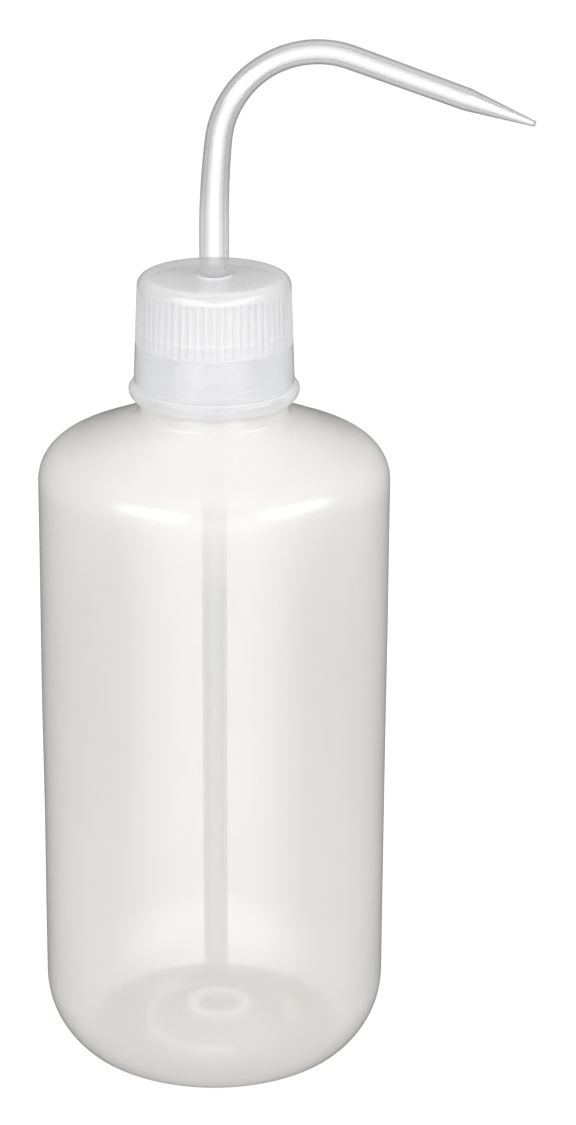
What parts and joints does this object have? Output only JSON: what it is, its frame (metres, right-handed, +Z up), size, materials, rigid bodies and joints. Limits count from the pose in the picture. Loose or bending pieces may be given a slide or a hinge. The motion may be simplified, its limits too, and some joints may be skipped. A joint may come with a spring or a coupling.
{
  "type": "wash bottle",
  "caption": "Round squeeze bottle with a ribbed screw closure, a long bent dispensing stem with a tapered nozzle, and a dip tube reaching down to the floor.",
  "frame": {"origin": "centre of the standing ring, on the ground plane under the bottle", "axes": "+Z up along the bottle's axis, +X towards the spout's tip, +Y away from a viewer who has the spout on the right"},
  "size_m": [0.1254, 0.091, 0.2724],
  "materials": {
    "ldpe_bottle": "translucent natural low-density polyethylene, satin",
    "pp_closure": "translucent natural polypropylene, glossy top and fine ribs",
    "pe_foam": "white closed-cell polyethylene foam",
    "clear_stem": "nearly clear glossy polypropylene",
    "dip_tube_plastic": "translucent natural polyethylene tube"
  },
  "bodies": {
    "bottle_body": {"bottle": "ldpe_bottle"},
    "liner_body": {"liner": "pe_foam"},
    "closure_body": {"closure": "pp_closure"},
    "stem_body": {"dispensing_stem": "clear_stem", "dip_tube": "dip_tube_plastic"}
  },
  "joints": [
    {"name": "closure_rise", "type": "slide", "parent": "bottle_body", "child": "liner_body", "axis": [0, 0, 1], "range_m": [0, 0.00678]},
    {"name": "closure_turn", "type": "hinge", "parent": "liner_body", "child": "closure_body", "pos_m": [0, 0, 0.2], "axis": [0, 0, 1], "range_deg": [0, 576]},
    {"name": "stem_swivel", "type": "hinge", "parent": "liner_body", "child": "stem_body", "pos_m": [0, 0, 0.2], "axis": [0, 0, 1], "continuous": true}
  ],
  "couplings": [
    {"joint": "closure_rise", "follows": "closure_turn", "m_per_rad": 0.00067377}
  ]
}
